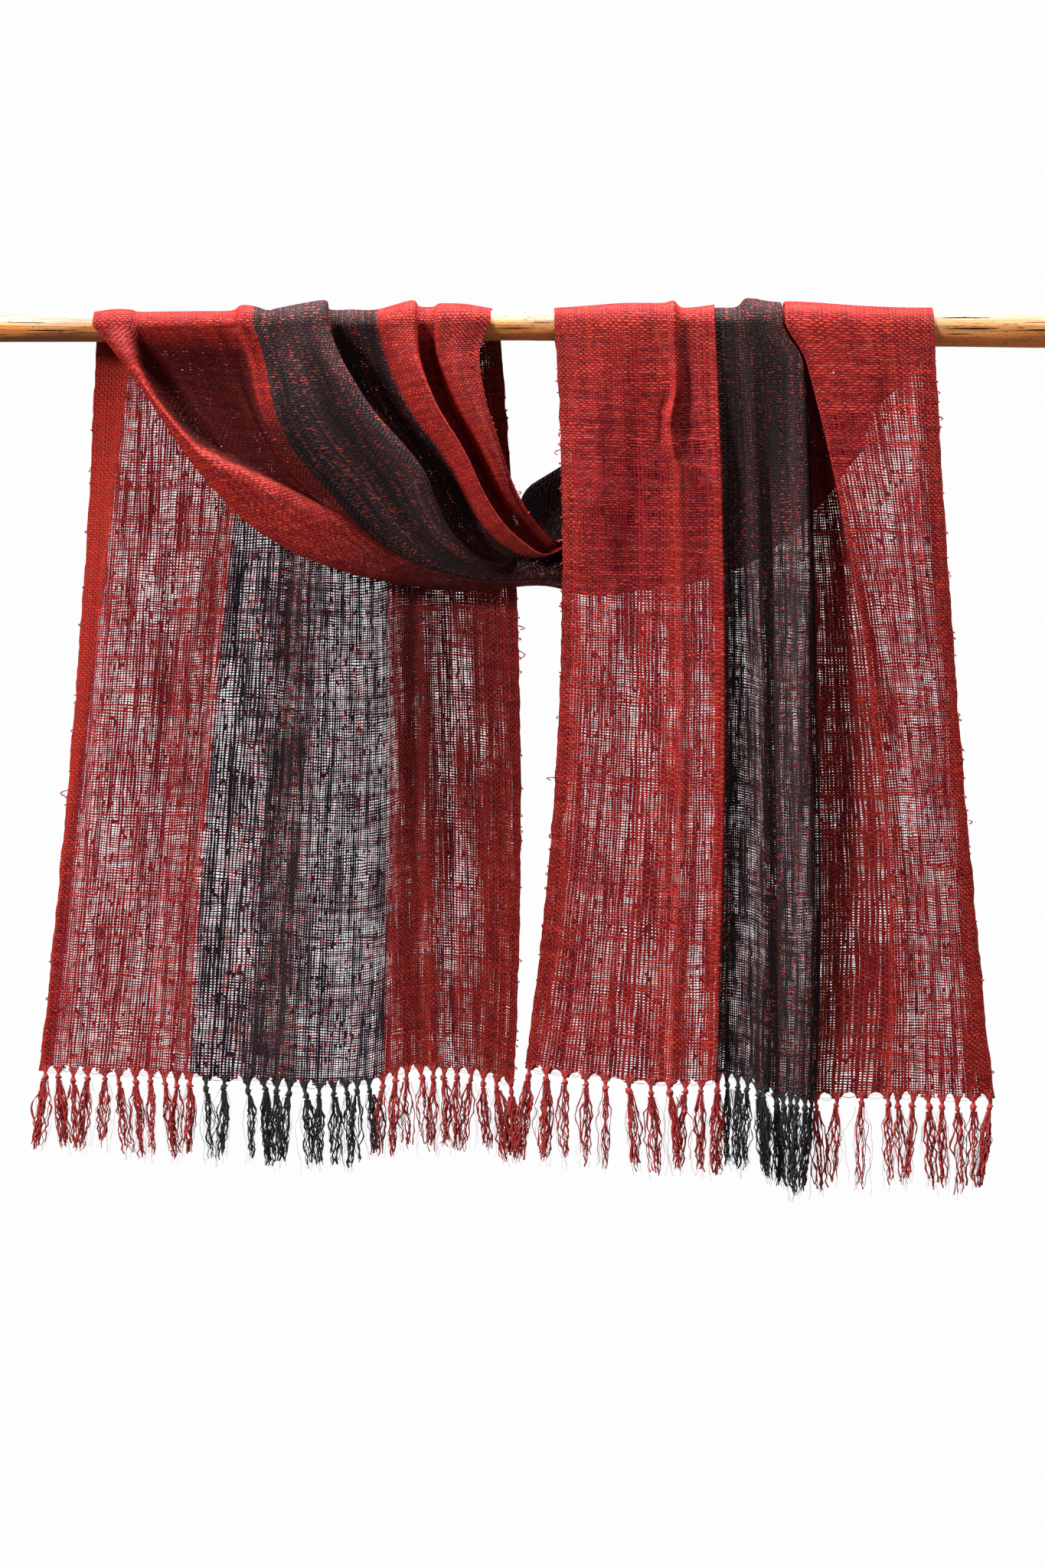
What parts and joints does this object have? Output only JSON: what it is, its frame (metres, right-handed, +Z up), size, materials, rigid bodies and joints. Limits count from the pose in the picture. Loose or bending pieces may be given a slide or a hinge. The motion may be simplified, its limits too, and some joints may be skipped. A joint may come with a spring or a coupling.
{
  "type": "silk scarf on a wooden rod",
  "caption": "Fringed silk scarf draped over a horizontal wooden rod, with one end behind it, one in front and a swag between.",
  "frame": {"origin": "the middle of the rod's axis, from which the rod and the scarf on it are held", "axes": "+X along the rod to the viewer's right, +Y away from the viewer, +Z up"},
  "size_m": [1.06, 0.0585, 0.8177],
  "materials": {
    "wood": "peeled hardwood stick, dry and lightly polished by handling",
    "silk": "open handwoven silk gauze, red with a black middle stripe",
    "fringe": "knotted loose silk warp ends"
  },
  "bodies": {
    "root": {"rod": "wood", "back_fall": "silk", "swag": "silk", "front_fall": "silk", "back_fringe": "fringe", "front_fringe": "fringe"}
  },
  "joints": []
}
